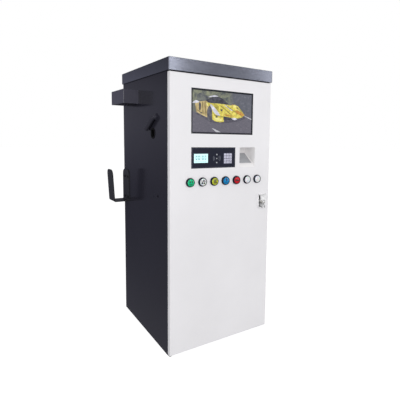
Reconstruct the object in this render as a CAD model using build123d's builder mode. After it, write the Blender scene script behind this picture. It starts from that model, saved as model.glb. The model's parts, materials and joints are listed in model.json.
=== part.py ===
from build123d import *
import os

# Self-service pay and control station: a floor-standing sheet-metal cabinet with a hinged front door
# that carries the screen, the control strip, a code scanner pocket, seven push buttons and the lock.
# A spray-gun holster, a hose hook and a water outlet are fixed to its left side.
#
# Frame: millimetres, X to the right, the door faces -Y, Z up.
# Origin: on the floor, at the centre of the anchor-hole pattern in the base plate.

# ---------------------------------------------------------------- driving dimensions
WIDTH = 610.0
DEPTH = 710.0  # over the closed door
HEIGHT = 1500.0
SHEET = 2.0
FIT = 0.05  # radial clearance of a running fit
CLEAR = 0.3  # gap beside a part that travels

DOOR_DEPTH = 27.0
DOOR_GAP = 3.0
DOOR_BOTTOM = 8.0
DOOR_TOP = 1434.0
DOOR_LIP = 30.0
RETURN = 28.0  # front returns of the cabinet sides
CAP_BOTTOM = 1439.0
CAP_OVERHANG = 7.0
SHELL_TOP = 1485.0

SCREEN_X, SCREEN_Z = -3.8, 1254.0
SCREEN_W, SCREEN_H = 376.0, 225.4
PICTURE_W, PICTURE_H = 360.0, 208.0
STRIP_X, STRIP_Z = -59.3, 1019.2
STRIP_W, STRIP_H = 263.4, 107.6
LCD_X, LCD_Z = -134.7, 1016.6
LCD_W, LCD_H = 79.8, 46.0
KEYPAD_X, KEYPAD_Z = 26.0, 1014.2
KEYPAD_W, KEYPAD_H = 52.0, 57.0
POCKET_X, POCKET_Z = 151.0, 1018.5
POCKET_W, POCKET_H = 102.4, 108.8

BUTTON_COUNT = 7
BUTTON_PITCH = 69.2
BUTTONS_X, BUTTONS_Z = 11.0, 895.7

LOCK_X, LOCK_Z = 254.0, 767.5
LOCK_W, LOCK_H = 46.0, 81.0
SPINDLE_Z = 762.0
CYLINDER_Z = 736.0

PIVOT_INSET = 8.0  # hinge axis from the door's left edge
PIVOT_FORWARD = 15.0  # hinge axis in front of the cabinet body
PIN_R = 4.0

ANCHOR_X, ANCHOR_Y = 460.0, 500.0
ANCHOR_HOLE_R = 7.0
GLAND_Y = 230.0
GLAND_HOLE_R = 20.0
GLAND_BORE_R = 15.0

HOLSTER_OUT = 86.0
HOLSTER_Y0, HOLSTER_Y1 = 78.0, 306.0
HOLSTER_Z0, HOLSTER_Z1 = 1304.0, 1381.0
HOOK_Y0, HOOK_Y1 = 258.0, 368.0
HOOK_Z0, HOOK_Z1 = 719.0, 916.0
HOOK_OUT = 92.0
OUTLET_Y, OUTLET_Z = -180.0, 1224.0
PIPE_R = 12.5
HOSE_HOLE_Y, HOSE_HOLE_Z = -139.4, 1138.6
GROMMET_SEAT_R = 25.0
SIDE_HOLES = ((-144.4, 804.4, 4.0), (-202.0, 812.6, 7.0))  # y, z, radius
BOLT_R = 4.0
BOLT_HOLE_R = 4.2
BOLT_HEAD_R = 7.5

# ---------------------------------------------------------------- places worked out from them
HALF_W = WIDTH / 2
DOOR_FRONT = -DEPTH / 2
DOOR_SKIN = DOOR_FRONT + SHEET  # inner face of the door skin
DOOR_BACK = DOOR_FRONT + DOOR_DEPTH
BODY_FRONT = DOOR_BACK + DOOR_GAP
BODY_BACK = DEPTH / 2
BODY_DEPTH = BODY_BACK - BODY_FRONT
BODY_MID = (BODY_FRONT + BODY_BACK) / 2
DOOR_MID_Z = (DOOR_BOTTOM + DOOR_TOP) / 2
DOOR_H = DOOR_TOP - DOOR_BOTTOM
PIVOT_X = -HALF_W + PIVOT_INSET
PIVOT_Y = BODY_FRONT - PIVOT_FORWARD
SIDE = -HALF_W  # outer face of the left side
HOLSTER_BOLTS = [(y, z) for y in (HOLSTER_Y0 + 15, HOLSTER_Y1 - 15) for z in (1322.0, 1363.0)]
HOOK_BOLTS = [(y, z) for y in (HOOK_Y0 + 20, HOOK_Y1 - 40) for z in (745.0, 870.0)]

os.makedirs("parts", exist_ok=True)


def finish(piece, name):
    """Label a finished piece and write it to its own file."""
    piece.part.label = name
    export_step(piece.part, f"parts/{name}.step")


def facing(y):
    """Plane at depth y that faces the user: local x is right, local y is up, extrusions come forward."""
    return Plane(origin=(0, y, 0), x_dir=(1, 0, 0), z_dir=(0, -1, 0))


def left_side(x):
    """Plane at x that faces left: local x is -Y, local y is up, extrusions go outward."""
    return Plane(origin=(x, 0, 0), x_dir=(0, -1, 0), z_dir=(-1, 0, 0))


# ---------------------------------------------------------------- cabinet
with BuildPart() as cabinet_shell:
    with BuildSketch():
        with Locations((0, BODY_MID)):
            Rectangle(WIDTH, BODY_DEPTH)
            Rectangle(WIDTH - 2 * SHEET, BODY_DEPTH - 2 * SHEET, mode=Mode.SUBTRACT)
        with Locations((0, BODY_FRONT)):
            Rectangle(WIDTH - 2 * RETURN, 4 * SHEET, mode=Mode.SUBTRACT)
    extrude(amount=SHELL_TOP)
    upright = cabinet_shell.edges().filter_by(Axis.Z)
    corners = upright.filter_by(lambda e: abs(abs(e.center().X) - HALF_W) < 0.1)
    fillet(corners, radius=1.8)
    with BuildSketch(left_side(SIDE)):
        with Locations((-HOSE_HOLE_Y, HOSE_HOLE_Z)):
            Circle(GROMMET_SEAT_R)
        with Locations((-OUTLET_Y, OUTLET_Z)):
            Circle(PIPE_R + CLEAR)
        for y, z, radius in SIDE_HOLES:
            with Locations((-y, z)):
                Circle(radius)
        with Locations(*[(-y, z) for y, z in HOLSTER_BOLTS + HOOK_BOLTS]):
            Circle(BOLT_HOLE_R)
    extrude(amount=-SHEET, mode=Mode.SUBTRACT)
finish(cabinet_shell, "cabinet_shell")

BASE_PLATE = 5.0
with BuildPart() as base_plate:
    with BuildSketch():
        with Locations((0, BODY_MID)):
            Rectangle(WIDTH - 2 * (SHEET + CLEAR), BODY_DEPTH - 2 * (SHEET + CLEAR))
        with GridLocations(ANCHOR_X, ANCHOR_Y, 2, 2):
            Circle(ANCHOR_HOLE_R, mode=Mode.SUBTRACT)
        with Locations((0, GLAND_Y)):
            Circle(GLAND_HOLE_R, mode=Mode.SUBTRACT)
    extrude(amount=BASE_PLATE)
finish(base_plate, "base_plate")

ROOF_BOLT_X, ROOF_BOLT_Y = 400.0, 440.0
ROOF_BOLTS = GridLocations(ROOF_BOLT_X, ROOF_BOLT_Y, 2, 2)
with BuildPart() as top_plate:
    with BuildSketch(Plane.XY.offset(SHELL_TOP)):
        with Locations((0, BODY_MID)):
            Rectangle(WIDTH, BODY_DEPTH)
        with ROOF_BOLTS:
            Circle(BOLT_HOLE_R, mode=Mode.SUBTRACT)
    extrude(amount=SHEET)
finish(top_plate, "top_plate")

CAP_W = WIDTH + 2 * CAP_OVERHANG
CAP_D = DEPTH + 2 * CAP_OVERHANG
CAP_UNDER = HEIGHT - SHEET
CAP_CORNER_R = 10.0
CAP_LIP = 6.0
STANDOFF_R = 11.0
BOLT_BITE = 9.0  # how far each roof bolt reaches up
with BuildPart() as roof_cap:
    with BuildSketch(Plane.XY.offset(CAP_BOTTOM)):
        RectangleRounded(CAP_W, CAP_D, CAP_CORNER_R)
    extrude(amount=HEIGHT - CAP_BOTTOM)
    fillet(roof_cap.faces().sort_by(Axis.Z)[-1].edges(), radius=1.8)
    with BuildSketch(Plane.XY.offset(CAP_BOTTOM)):
        RectangleRounded(CAP_W - 2 * CAP_LIP, CAP_D - 2 * CAP_LIP, CAP_CORNER_R - CAP_LIP)
    extrude(amount=SHEET, mode=Mode.SUBTRACT)
    with BuildSketch(Plane.XY.offset(CAP_BOTTOM + SHEET)):
        RectangleRounded(CAP_W - 2 * SHEET, CAP_D - 2 * SHEET, CAP_CORNER_R - SHEET)
    extrude(amount=CAP_UNDER - CAP_BOTTOM - SHEET, mode=Mode.SUBTRACT)
    with BuildSketch(Plane.XY.offset(CAP_UNDER)):
        with ROOF_BOLTS:
            Circle(STANDOFF_R)
    extrude(amount=-(CAP_UNDER - SHELL_TOP - SHEET))
    with BuildSketch(Plane.XY.offset(SHELL_TOP + SHEET)):
        with ROOF_BOLTS:
            Circle(BOLT_HOLE_R)
    extrude(amount=BOLT_BITE + 1, mode=Mode.SUBTRACT)
finish(roof_cap, "roof_cap")

with BuildPart() as roof_bolts:
    with BuildSketch(Plane.XY.offset(SHELL_TOP - 6)):
        with ROOF_BOLTS:
            RegularPolygon(BOLT_HEAD_R, 6)
    extrude(amount=6)
    with BuildSketch(Plane.XY.offset(SHELL_TOP)):
        with ROOF_BOLTS:
            Circle(BOLT_R)
    extrude(amount=SHEET + BOLT_BITE)
finish(roof_bolts, "roof_bolts")

RAIL_DEPTH = 34.0
RAIL_W = WIDTH - 2 * RETURN
SILL_TOP = 48.0
HEADER_BOTTOM = 1398.0
# low edge, high edge and underside of the flange of each rail
RAILS = ((BASE_PLATE, SILL_TOP, SILL_TOP - SHEET), (HEADER_BOTTOM, SHELL_TOP, HEADER_BOTTOM))
with BuildPart() as frame_rails:
    for low, high, flange in RAILS:
        with BuildSketch(facing(BODY_FRONT + SHEET)):
            with Locations((0, (low + high) / 2)):
                Rectangle(RAIL_W, high - low)
        extrude(amount=SHEET)
        with BuildSketch(Plane.XY.offset(flange)):
            with Locations((0, BODY_FRONT + SHEET + RAIL_DEPTH / 2)):
                Rectangle(RAIL_W, RAIL_DEPTH)
        extrude(amount=SHEET)
finish(frame_rails, "frame_rails")

GASKET = 2.6
GASKET_INSET_X, GASKET_INSET_Z = 17.0, 14.0
GASKET_BAND = 10.0
GASKET_W = WIDTH - 2 * GASKET_INSET_X
GASKET_H = DOOR_H - 2 * GASKET_INSET_Z
with BuildPart() as door_gasket:
    with BuildSketch(facing(BODY_FRONT)):
        with Locations((0, DOOR_MID_Z)):
            RectangleRounded(GASKET_W, GASKET_H, 6)
            RectangleRounded(GASKET_W - 2 * GASKET_BAND, GASKET_H - 2 * GASKET_BAND, 4, mode=Mode.SUBTRACT)
    extrude(amount=GASKET)
finish(door_gasket, "door_gasket")

# ---------------------------------------------------------------- door hinges: a pin at each end
BRACKET = 5.0
BRACKET_R = 7.0
BRACKET_ENDS = ((1.5, 32.0), (1435.0, 1410.0))  # underside of each bracket, far end of its pin
with BuildPart() as hinge_brackets:
    for base, _ in BRACKET_ENDS:
        with BuildSketch(Plane.XY.offset(base)):
            with Locations((PIVOT_X, PIVOT_Y)):
                Circle(BRACKET_R)
            with Locations((PIVOT_X, (PIVOT_Y + BODY_FRONT) / 2)):
                Rectangle(2 * BRACKET_R, PIVOT_FORWARD)
            with Locations((PIVOT_X, PIVOT_Y)):
                Circle(PIN_R, mode=Mode.SUBTRACT)
        extrude(amount=BRACKET)
finish(hinge_brackets, "hinge_brackets")

with BuildPart() as hinge_pins:
    for base, far in BRACKET_ENDS:
        low = min(base, far)
        high = max(base + BRACKET, far)
        with BuildSketch(Plane.XY.offset(low)):
            with Locations((PIVOT_X, PIVOT_Y)):
                Circle(PIN_R)
        extrude(amount=high - low)
finish(hinge_pins, "hinge_pins")

# ---------------------------------------------------------------- equipment inside the cabinet
PLATE_Y = 327.0
PLATE_W, PLATE_H = 480.0, 1000.0
PLATE_BOTTOM = 300.0
with BuildPart() as equipment_plate:
    with BuildSketch(facing(PLATE_Y)):
        with Locations((0, PLATE_BOTTOM + PLATE_H / 2)):
            Rectangle(PLATE_W, PLATE_H)
    extrude(amount=SHEET)
    for side in (-1, 1):
        with BuildSketch(Plane.XY.offset(PLATE_BOTTOM)):
            with Locations((side * (PLATE_W - SHEET) / 2, (PLATE_Y + BODY_BACK - SHEET) / 2)):
                Rectangle(SHEET, BODY_BACK - SHEET - PLATE_Y)
        extrude(amount=PLATE_H)
finish(equipment_plate, "equipment_plate")

RAIL_FACE = PLATE_Y - SHEET
BREAKER_RAIL_Z, TERMINAL_RAIL_Z = 1180.0, 1000.0
DIN_W, DIN_H, DIN_DEPTH = 400.0, 35.0, 7.5
DIN_SHEET = 1.0
DIN_LIP = 5.0
with BuildPart() as din_rails:
    for z in (BREAKER_RAIL_Z, TERMINAL_RAIL_Z):
        with BuildSketch(Plane.YZ.offset(-DIN_W / 2)):
            with Locations((RAIL_FACE - DIN_SHEET / 2, z)):
                Rectangle(DIN_SHEET, DIN_H - 2 * DIN_LIP + 2 * DIN_SHEET)
            for side in (-1, 1):
                with Locations((RAIL_FACE - DIN_DEPTH / 2, z + side * (DIN_H / 2 - DIN_LIP + DIN_SHEET / 2))):
                    Rectangle(DIN_DEPTH, DIN_SHEET)
                with Locations((RAIL_FACE - DIN_DEPTH + DIN_SHEET / 2, z + side * (DIN_H - DIN_LIP) / 2)):
                    Rectangle(DIN_SHEET, DIN_LIP)
        extrude(amount=DIN_W)
finish(din_rails, "din_rails")

MODULE_FACE = RAIL_FACE - DIN_DEPTH
BREAKER_COUNT = 4
BREAKER_X = -150.0
BREAKER_W, BREAKER_PITCH = 17.8, 18.2
SHOULDER, NOSE = 44.0, 58.0  # depths of a breaker's terminal ends and of its middle
SHOULDER_HALF, NOSE_HALF = 40.0, 23.0
with BuildPart() as circuit_breakers:
    for i in range(BREAKER_COUNT):
        x = BREAKER_X + BREAKER_PITCH * i
        with BuildSketch(Plane.YZ.offset(x)):
            with Locations((MODULE_FACE - SHOULDER / 2, BREAKER_RAIL_Z)):
                Rectangle(SHOULDER, 2 * SHOULDER_HALF)
            with Locations((MODULE_FACE - NOSE / 2, BREAKER_RAIL_Z)):
                Rectangle(NOSE, 2 * NOSE_HALF)
        extrude(amount=BREAKER_W)
        with BuildSketch(facing(MODULE_FACE - NOSE)):
            with Locations((x + BREAKER_W / 2, BREAKER_RAIL_Z + 6)):
                Rectangle(BREAKER_W / 2, 14)
        extrude(amount=9)
finish(circuit_breakers, "circuit_breakers")

TERMINAL_COUNT = 16
TERMINAL_X = -120.0
TERMINAL_W, TERMINAL_PITCH = 7.8, 8.2
with BuildPart() as terminal_blocks:
    for i in range(TERMINAL_COUNT):
        x = TERMINAL_X + TERMINAL_PITCH * i
        with BuildSketch(Plane.YZ.offset(x)):
            with BuildLine():
                Polyline((MODULE_FACE, TERMINAL_RAIL_Z - 26), (MODULE_FACE - 30, TERMINAL_RAIL_Z - 26),
                         (MODULE_FACE - 42, TERMINAL_RAIL_Z - 12), (MODULE_FACE - 42, TERMINAL_RAIL_Z + 12),
                         (MODULE_FACE - 30, TERMINAL_RAIL_Z + 26), (MODULE_FACE, TERMINAL_RAIL_Z + 26),
                         close=True)
            make_face()
        extrude(amount=TERMINAL_W)
finish(terminal_blocks, "terminal_blocks")

SUPPLY_X, SUPPLY_Z = 60.0, 780.0
SUPPLY_W, SUPPLY_H, SUPPLY_DEPTH = 115.0, 215.0, 50.0
with BuildPart() as power_supply:
    with BuildSketch(facing(RAIL_FACE)):
        with Locations((SUPPLY_X, SUPPLY_Z)):
            Rectangle(SUPPLY_W, SUPPLY_H)
    extrude(amount=SUPPLY_DEPTH)
    chamfer(power_supply.faces().sort_by(Axis.Y)[0].edges(), length=1.5)
    with BuildSketch(facing(RAIL_FACE - SUPPLY_DEPTH)):
        with Locations((SUPPLY_X, SUPPLY_Z + 20)):
            with GridLocations(11, 11, 8, 12):
                Circle(2.5)
    extrude(amount=-1.5, mode=Mode.SUBTRACT)
finish(power_supply, "power_supply")

GLAND_NUT, GLAND_DOME = 9.0, 16.0
with BuildPart() as cable_gland:
    with BuildSketch(Plane.XY.offset(BASE_PLATE)):
        with Locations((0, GLAND_Y)):
            RegularPolygon(27, 6)
            Circle(GLAND_BORE_R, mode=Mode.SUBTRACT)
    extrude(amount=GLAND_NUT)
    with BuildSketch(Plane.XY.offset(BASE_PLATE + GLAND_NUT)):
        with Locations((0, GLAND_Y)):
            Circle(21)
            Circle(GLAND_BORE_R, mode=Mode.SUBTRACT)
    extrude(amount=GLAND_DOME)
    with BuildSketch(Plane.XY.offset(0.5)):
        with Locations((0, GLAND_Y)):
            Circle(GLAND_HOLE_R)
            Circle(GLAND_BORE_R, mode=Mode.SUBTRACT)
    extrude(amount=BASE_PLATE - 0.5)
finish(cable_gland, "cable_gland")

# ---------------------------------------------------------------- fittings on the left side
STRAP = 3.0
HOLSTER_MID = (HOLSTER_Y0 + HOLSTER_Y1) / 2
HOLSTER_LEN = HOLSTER_Y1 - HOLSTER_Y0
with BuildPart() as gun_holster:
    with BuildSketch(Plane.XY.offset(HOLSTER_Z0)):
        with Locations((SIDE - HOLSTER_OUT / 2, HOLSTER_MID)):
            Rectangle(HOLSTER_OUT, HOLSTER_LEN)
            Rectangle(HOLSTER_OUT - 2 * STRAP, HOLSTER_LEN - 2 * STRAP, mode=Mode.SUBTRACT)
        with Locations((SIDE, HOLSTER_MID)):
            Rectangle(3 * STRAP, HOLSTER_LEN - 60, mode=Mode.SUBTRACT)
    extrude(amount=HOLSTER_Z1 - HOLSTER_Z0)
    outer = gun_holster.edges().filter_by(Axis.Z).filter_by(lambda e: e.center().X < SIDE - HOLSTER_OUT + 0.1)
    fillet(outer, radius=4)
    with BuildSketch(left_side(SIDE)):
        with Locations(*[(-y, z) for y, z in HOLSTER_BOLTS]):
            Circle(BOLT_HOLE_R)
    extrude(amount=STRAP, mode=Mode.SUBTRACT)
finish(gun_holster, "gun_holster")

BAR = 5.0
HOOK_LEAN = 11.0
HOOK_WALL_TOP = 914.0
with BuildPart() as hose_hook:
    with BuildSketch(Plane.XZ.offset(-HOOK_Y1)):
        with BuildLine():
            Polyline((SIDE, HOOK_WALL_TOP), (SIDE, HOOK_Z0), (SIDE - HOOK_OUT, HOOK_Z0),
                     (SIDE - HOOK_OUT - HOOK_LEAN, HOOK_Z1), (SIDE - HOOK_OUT - HOOK_LEAN + BAR, HOOK_Z1),
                     (SIDE - HOOK_OUT + BAR, HOOK_Z0 + BAR), (SIDE - BAR, HOOK_Z0 + BAR),
                     (SIDE - BAR, HOOK_WALL_TOP), close=True)
        make_face()
    extrude(amount=HOOK_Y1 - HOOK_Y0)
    bends = hose_hook.edges().filter_by(Axis.Y)
    fillet(bends.filter_by(lambda e: abs(e.center().Z - HOOK_Z0) < 0.1 and e.center().X < SIDE - 1), radius=9)
    fillet(bends.filter_by(lambda e: abs(e.center().Z - HOOK_Z0 - BAR) < 0.1), radius=4)
    tips = hose_hook.edges().filter_by(lambda e: e.center().Z > HOOK_Z1 - 3 and abs(e.length - BAR) < 0.5)
    fillet(tips, radius=32)
    with BuildSketch(left_side(SIDE)):
        with Locations(*[(-y, z) for y, z in HOOK_BOLTS]):
            Circle(BOLT_HOLE_R)
    extrude(amount=BAR, mode=Mode.SUBTRACT)
finish(hose_hook, "hose_hook")

SHANK = 12.0  # length of each bolt inside the cabinet
with BuildPart() as side_bolts:
    for places, thickness in ((HOLSTER_BOLTS, STRAP), (HOOK_BOLTS, BAR)):
        spots = [(-y, z) for y, z in places]
        with BuildSketch(left_side(SIDE + SHANK)):
            with Locations(*spots):
                Circle(BOLT_R)
        extrude(amount=SHANK + thickness)
        with BuildSketch(left_side(SIDE - thickness)):
            with Locations(*spots):
                RegularPolygon(BOLT_HEAD_R, 6)
        extrude(amount=5.3)
        with BuildSketch(left_side(SIDE + SHEET)):
            with Locations(*spots):
                RegularPolygon(BOLT_HEAD_R, 6)
        extrude(amount=-6.5)
finish(side_bolts, "side_bolts")

PIPE_WALL = 3.5
PIPE_TAIL = 22.0
OUTLET_NUT_R = 19.0
OUTLET_OFF = 13.5  # the outlet runs down beside the cabinet wall at this distance
with BuildPart() as outlet_elbow:
    with BuildLine() as run:
        FilletPolyline((SIDE + PIPE_TAIL, OUTLET_Y, OUTLET_Z), (SIDE - OUTLET_OFF, OUTLET_Y, OUTLET_Z),
                       (SIDE - OUTLET_OFF, OUTLET_Y + 104, OUTLET_Z - 62), radius=16)
    with BuildSketch(left_side(SIDE + PIPE_TAIL)):
        with Locations((-OUTLET_Y, OUTLET_Z)):
            Circle(PIPE_R)
            Circle(PIPE_R - PIPE_WALL, mode=Mode.SUBTRACT)
    sweep(path=run.wires()[0])
    with BuildSketch(left_side(SIDE)):
        with Locations((-OUTLET_Y, OUTLET_Z)):
            RegularPolygon(OUTLET_NUT_R, 6)
            Circle(PIPE_R - 1, mode=Mode.SUBTRACT)
    extrude(amount=5)
    with BuildSketch(left_side(SIDE + SHEET)):
        with Locations((-OUTLET_Y, OUTLET_Z)):
            RegularPolygon(OUTLET_NUT_R, 6)
            Circle(PIPE_R - 1, mode=Mode.SUBTRACT)
    extrude(amount=-6)
finish(outlet_elbow, "outlet_elbow")

GROMMET_BORE_R = 21.0
GROMMET_FLANGE_R = 28.5
FLANGE = 2.5
GROMMET_RINGS = ((SIDE, GROMMET_FLANGE_R, FLANGE), (SIDE + SHEET, GROMMET_SEAT_R, SHEET),
                 (SIDE + SHEET + FLANGE, GROMMET_FLANGE_R, FLANGE))  # inner x, radius, length
with BuildPart() as hose_grommet:
    for x, radius, length in GROMMET_RINGS:
        with BuildSketch(left_side(x)):
            with Locations((-HOSE_HOLE_Y, HOSE_HOLE_Z)):
                Circle(radius)
                Circle(GROMMET_BORE_R, mode=Mode.SUBTRACT)
        extrude(amount=length)
finish(hose_grommet, "hose_grommet")

# ---------------------------------------------------------------- door
BUTTON_HOLE_R = 20.2
LOCK_BARREL_R = 10.0
FIRST_BUTTON = BUTTONS_X - BUTTON_PITCH * (BUTTON_COUNT - 1) / 2
BUTTON_SPOTS = [(FIRST_BUTTON + BUTTON_PITCH * i, BUTTONS_Z) for i in range(BUTTON_COUNT)]
with BuildPart() as door_panel:
    with BuildSketch(facing(DOOR_BACK)):
        with Locations((0, DOOR_MID_Z)):
            Rectangle(WIDTH, DOOR_H)
    extrude(amount=DOOR_DEPTH)
    front_edges = door_panel.faces().sort_by(Axis.Y)[0].edges()
    fillet(front_edges, radius=3)
    with BuildSketch(facing(DOOR_BACK - SHEET)):
        with Locations((0, DOOR_MID_Z)):
            Rectangle(WIDTH - 2 * SHEET, DOOR_H - 2 * SHEET)
    extrude(amount=DOOR_DEPTH - 2 * SHEET, mode=Mode.SUBTRACT)
    with BuildSketch(facing(DOOR_BACK)):
        with Locations((0, DOOR_MID_Z)):
            Rectangle(WIDTH - 2 * DOOR_LIP, DOOR_H - 2 * DOOR_LIP)
    extrude(amount=SHEET, mode=Mode.SUBTRACT)
    with BuildSketch(facing(DOOR_SKIN)):
        with Locations((SCREEN_X, SCREEN_Z)):
            Rectangle(SCREEN_W, SCREEN_H)
        with Locations((STRIP_X, STRIP_Z)):
            Rectangle(STRIP_W, STRIP_H)
        with Locations((POCKET_X, POCKET_Z)):
            Rectangle(POCKET_W, POCKET_H)
        with Locations(*BUTTON_SPOTS):
            Circle(BUTTON_HOLE_R)
        with Locations((LOCK_X, SPINDLE_Z)):
            Circle(LOCK_BARREL_R + 0.2)
    extrude(amount=SHEET, mode=Mode.SUBTRACT)
    with BuildSketch(Plane.XY.offset(DOOR_BOTTOM)):
        with Locations((PIVOT_X, PIVOT_Y)):
            Circle(PIN_R + 0.3)
    extrude(amount=DOOR_H, mode=Mode.SUBTRACT)
finish(door_panel, "door_panel")

PIVOT_BLOCK_H = 26.0
with BuildPart() as door_pivot_blocks:
    for base in (DOOR_BOTTOM + SHEET, DOOR_TOP - SHEET - PIVOT_BLOCK_H):
        with BuildSketch(Plane.XY.offset(base)):
            with Locations((-HALF_W + SHEET + 11, (DOOR_SKIN + DOOR_BACK - SHEET) / 2)):
                Rectangle(22, DOOR_DEPTH - 2 * SHEET)
            with Locations((PIVOT_X, PIVOT_Y)):
                Circle(PIN_R + FIT, mode=Mode.SUBTRACT)
        extrude(amount=PIVOT_BLOCK_H)
finish(door_pivot_blocks, "door_pivot_blocks")

# ---------------------------------------------------------------- screen
BEZEL_BACK = DOOR_SKIN + 2.5
with BuildPart() as display_bezel:
    with BuildSketch(facing(BEZEL_BACK)):
        with Locations((SCREEN_X, SCREEN_Z)):
            Rectangle(SCREEN_W + 18, SCREEN_H + 18)
            Rectangle(PICTURE_W, PICTURE_H, mode=Mode.SUBTRACT)
    extrude(amount=2.5)
    window = display_bezel.faces().sort_by(Axis.Y)[0].inner_wires()[0].edges()
    chamfer(window, length=1.2)
finish(display_bezel, "display_bezel")

PANEL_BACK = BEZEL_BACK + 8
with BuildPart() as display_panel:
    with BuildSketch(facing(PANEL_BACK)):
        with Locations((SCREEN_X, SCREEN_Z)):
            Rectangle(PICTURE_W + 12, PICTURE_H + 12)
    extrude(amount=8)
finish(display_panel, "display_panel")

DISPLAY_BACK = PANEL_BACK + 36
with BuildPart() as display_housing:
    with BuildSketch(facing(DISPLAY_BACK)):
        with Locations((SCREEN_X, SCREEN_Z)):
            Rectangle(SCREEN_W + 10, SCREEN_H + 10)
    extrude(amount=DISPLAY_BACK - BEZEL_BACK)
    chamfer(display_housing.faces().sort_by(Axis.Y)[-1].edges(), length=12)
    with BuildSketch(facing(PANEL_BACK)):
        with Locations((SCREEN_X, SCREEN_Z)):
            Rectangle(PICTURE_W + 12, PICTURE_H + 12)
    extrude(amount=PANEL_BACK - BEZEL_BACK, mode=Mode.SUBTRACT)
    with BuildSketch(facing(DISPLAY_BACK)):
        with Locations((SCREEN_X, SCREEN_Z)):
            with GridLocations(12, 60, 22, 2):
                SlotOverall(40, 4, rotation=90)
    extrude(amount=6, mode=Mode.SUBTRACT)
finish(display_housing, "display_housing")

# ---------------------------------------------------------------- control strip
FASCIA = 3.0
FASCIA_BACK = DOOR_SKIN + FASCIA
with BuildPart() as control_fascia:
    with BuildSketch(facing(FASCIA_BACK)):
        with Locations((STRIP_X, STRIP_Z)):
            Rectangle(STRIP_W + 14, STRIP_H + 14)
        with Locations((LCD_X, LCD_Z)):
            Rectangle(LCD_W + 0.2, LCD_H + 0.2, mode=Mode.SUBTRACT)
        with Locations((KEYPAD_X, KEYPAD_Z)):
            Rectangle(KEYPAD_W + 0.2, KEYPAD_H + 0.2, mode=Mode.SUBTRACT)
    extrude(amount=FASCIA)
finish(control_fascia, "control_fascia")

with BuildPart() as lcd_window:
    with BuildSketch(facing(FASCIA_BACK)):
        with Locations((LCD_X, LCD_Z)):
            Rectangle(LCD_W, LCD_H)
    extrude(amount=FASCIA - 0.4)
finish(lcd_window, "lcd_window")

CONTROLLER_BACK = FASCIA_BACK + 38
with BuildPart() as controller_housing:
    with BuildSketch(facing(CONTROLLER_BACK)):
        with Locations((STRIP_X, STRIP_Z)):
            Rectangle(STRIP_W + 6, STRIP_H + 6)
    extrude(amount=CONTROLLER_BACK - FASCIA_BACK)
    chamfer(controller_housing.faces().sort_by(Axis.Y)[-1].edges(), length=3)
    with BuildSketch(facing(CONTROLLER_BACK - SHEET)):
        with Locations((STRIP_X, STRIP_Z)):
            Rectangle(STRIP_W, STRIP_H)
    extrude(amount=CONTROLLER_BACK - SHEET - FASCIA_BACK, mode=Mode.SUBTRACT)
finish(controller_housing, "controller_housing")

KEY_NAMES = ("1", "2", "3", "4", "5", "6", "7", "8", "9", "clear", "0", "enter")
KEY_PITCH_X, KEY_PITCH_Z = 16.6, 13.6
KEY_W, KEY_H = 13.8, 10.8
KEY_SPOTS = [(KEYPAD_X + (i % 3 - 1) * KEY_PITCH_X, KEYPAD_Z + (1.5 - i // 3) * KEY_PITCH_Z)
             for i in range(len(KEY_NAMES))]
KEY_FRONT = DOOR_SKIN - 1.4
with BuildPart() as keypad_plate:
    with BuildSketch(facing(FASCIA_BACK)):
        with Locations((KEYPAD_X, KEYPAD_Z)):
            Rectangle(KEYPAD_W, KEYPAD_H)
        with Locations(*KEY_SPOTS):
            RectangleRounded(KEY_W + 2 * CLEAR, KEY_H + 2 * CLEAR, 1.8, mode=Mode.SUBTRACT)
    extrude(amount=FASCIA + 0.2)
finish(keypad_plate, "keypad_plate")

for key_name, (key_x, key_z) in zip(KEY_NAMES, KEY_SPOTS):
    with BuildPart() as key:
        with BuildSketch(facing(FASCIA_BACK + 0.2)):
            with Locations((key_x, key_z)):
                RectangleRounded(KEY_W, KEY_H, 1.5)
        extrude(amount=FASCIA_BACK + 0.2 - KEY_FRONT)
        fillet(key.faces().sort_by(Axis.Y)[0].edges(), radius=0.7)
        with BuildSketch(facing(FASCIA_BACK + 1.4)):
            with Locations((key_x, key_z)):
                Rectangle(KEY_W + 1.6, KEY_H + 1.6)
        extrude(amount=1.2)
    finish(key, f"key_{key_name}")

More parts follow.
